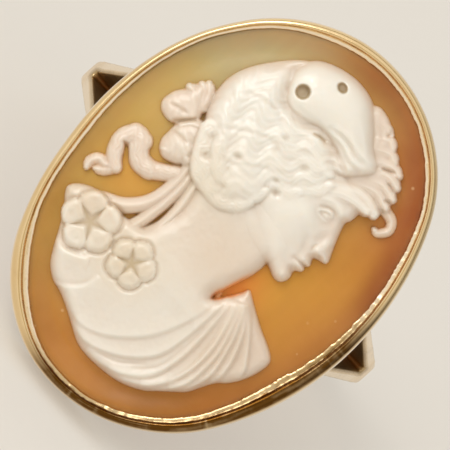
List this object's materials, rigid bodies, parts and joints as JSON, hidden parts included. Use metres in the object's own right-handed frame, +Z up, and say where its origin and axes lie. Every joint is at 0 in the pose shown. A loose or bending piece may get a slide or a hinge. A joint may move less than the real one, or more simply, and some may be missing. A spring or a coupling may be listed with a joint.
{
  "type": "finger ring",
  "caption": "Finger ring with an oval carved shell cameo of a classical bust in a plain rubbed-over collet on a slim band with forked shoulders.",
  "frame": {"origin": "on the surface the ring lies on, under the middle of its bounding box", "axes": "+Z up, +X across the finger hole, the cameo faces -Y and leans up, the finger hole's axis runs up and back in the YZ plane"},
  "size_m": [0.0198, 0.0238, 0.0196],
  "materials": {
    "gold": "worn polished 9 carat gold",
    "shell": "waxy polished shell, cream on orange"
  },
  "bodies": {
    "root": {"gold_mount": "gold", "shell_cameo": "shell"}
  },
  "joints": []
}
